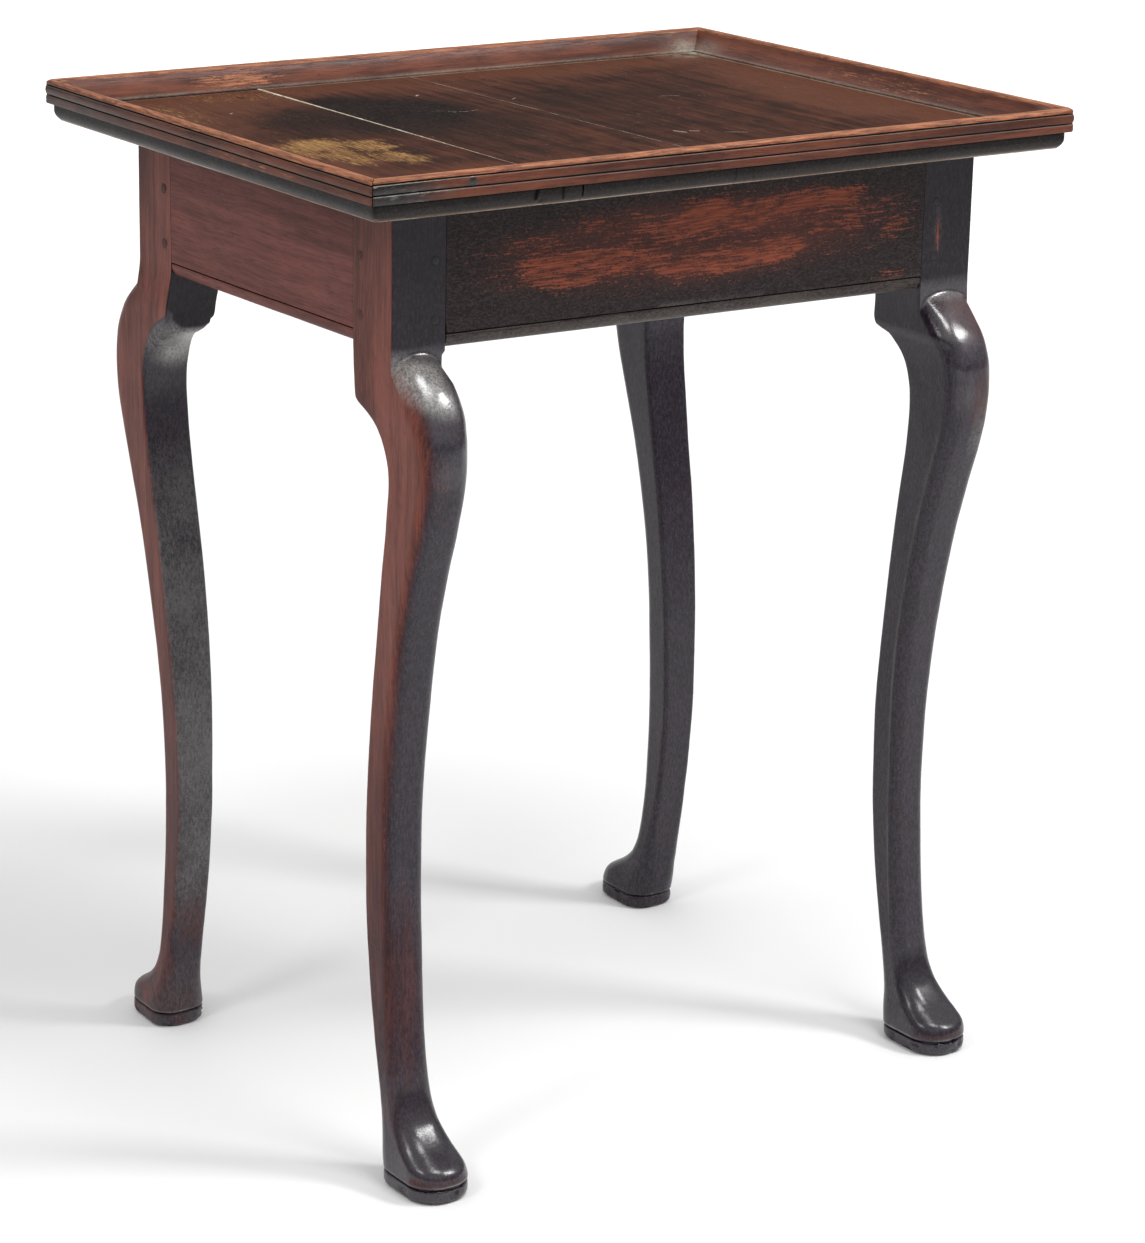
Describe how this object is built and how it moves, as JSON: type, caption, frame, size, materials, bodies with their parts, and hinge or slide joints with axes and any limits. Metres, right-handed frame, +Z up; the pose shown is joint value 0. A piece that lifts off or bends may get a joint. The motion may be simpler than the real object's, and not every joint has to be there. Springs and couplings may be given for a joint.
{
  "type": "tray top tea table",
  "caption": "Small side table whose moulded gallery turns the board top into a shallow tray, on a plain pegged frieze and cabriole legs with slipper feet.",
  "frame": {"origin": "on the floor at the middle of the table's outline", "axes": "+X along the long side, +Y from front to back, +Z up"},
  "size_m": [0.577, 0.443, 0.711],
  "materials": {
    "leg_wood": "old dark mahogany, polished, worn to red-brown",
    "frieze_wood": "old dark mahogany, satin, worn in places",
    "board_wood": "dry dark mahogany with scratches and stains, near-black moulded edge",
    "gallery_wood": "reddish mahogany, polished, rubbed on the crest",
    "peg_wood": "dark end grain",
    "block_wood": "unfinished secondary wood, aged",
    "brad_iron": "dark oxidised iron",
    "seam_filler": "pale dry filler"
  },
  "bodies": {
    "root": {"gallery_back": "gallery_wood", "gallery_brads": "brad_iron", "gallery_front": "gallery_wood", "gallery_left": "gallery_wood", "gallery_right": "gallery_wood", "glue_blocks_back": "block_wood", "glue_blocks_front": "block_wood", "glue_blocks_left": "block_wood", "glue_blocks_right": "block_wood", "leg_back_left": "leg_wood", "leg_back_right": "leg_wood", "leg_front_left": "leg_wood", "leg_front_right": "leg_wood", "pegs_back": "peg_wood", "pegs_front": "peg_wood", "pegs_left": "peg_wood", "pegs_right": "peg_wood", "rail_back": "frieze_wood", "rail_front": "frieze_wood", "rail_left": "frieze_wood", "rail_right": "frieze_wood", "seam_filler": "seam_filler", "top_board_left": "board_wood", "top_board_middle": "board_wood", "top_board_right": "board_wood"}
  },
  "joints": []
}
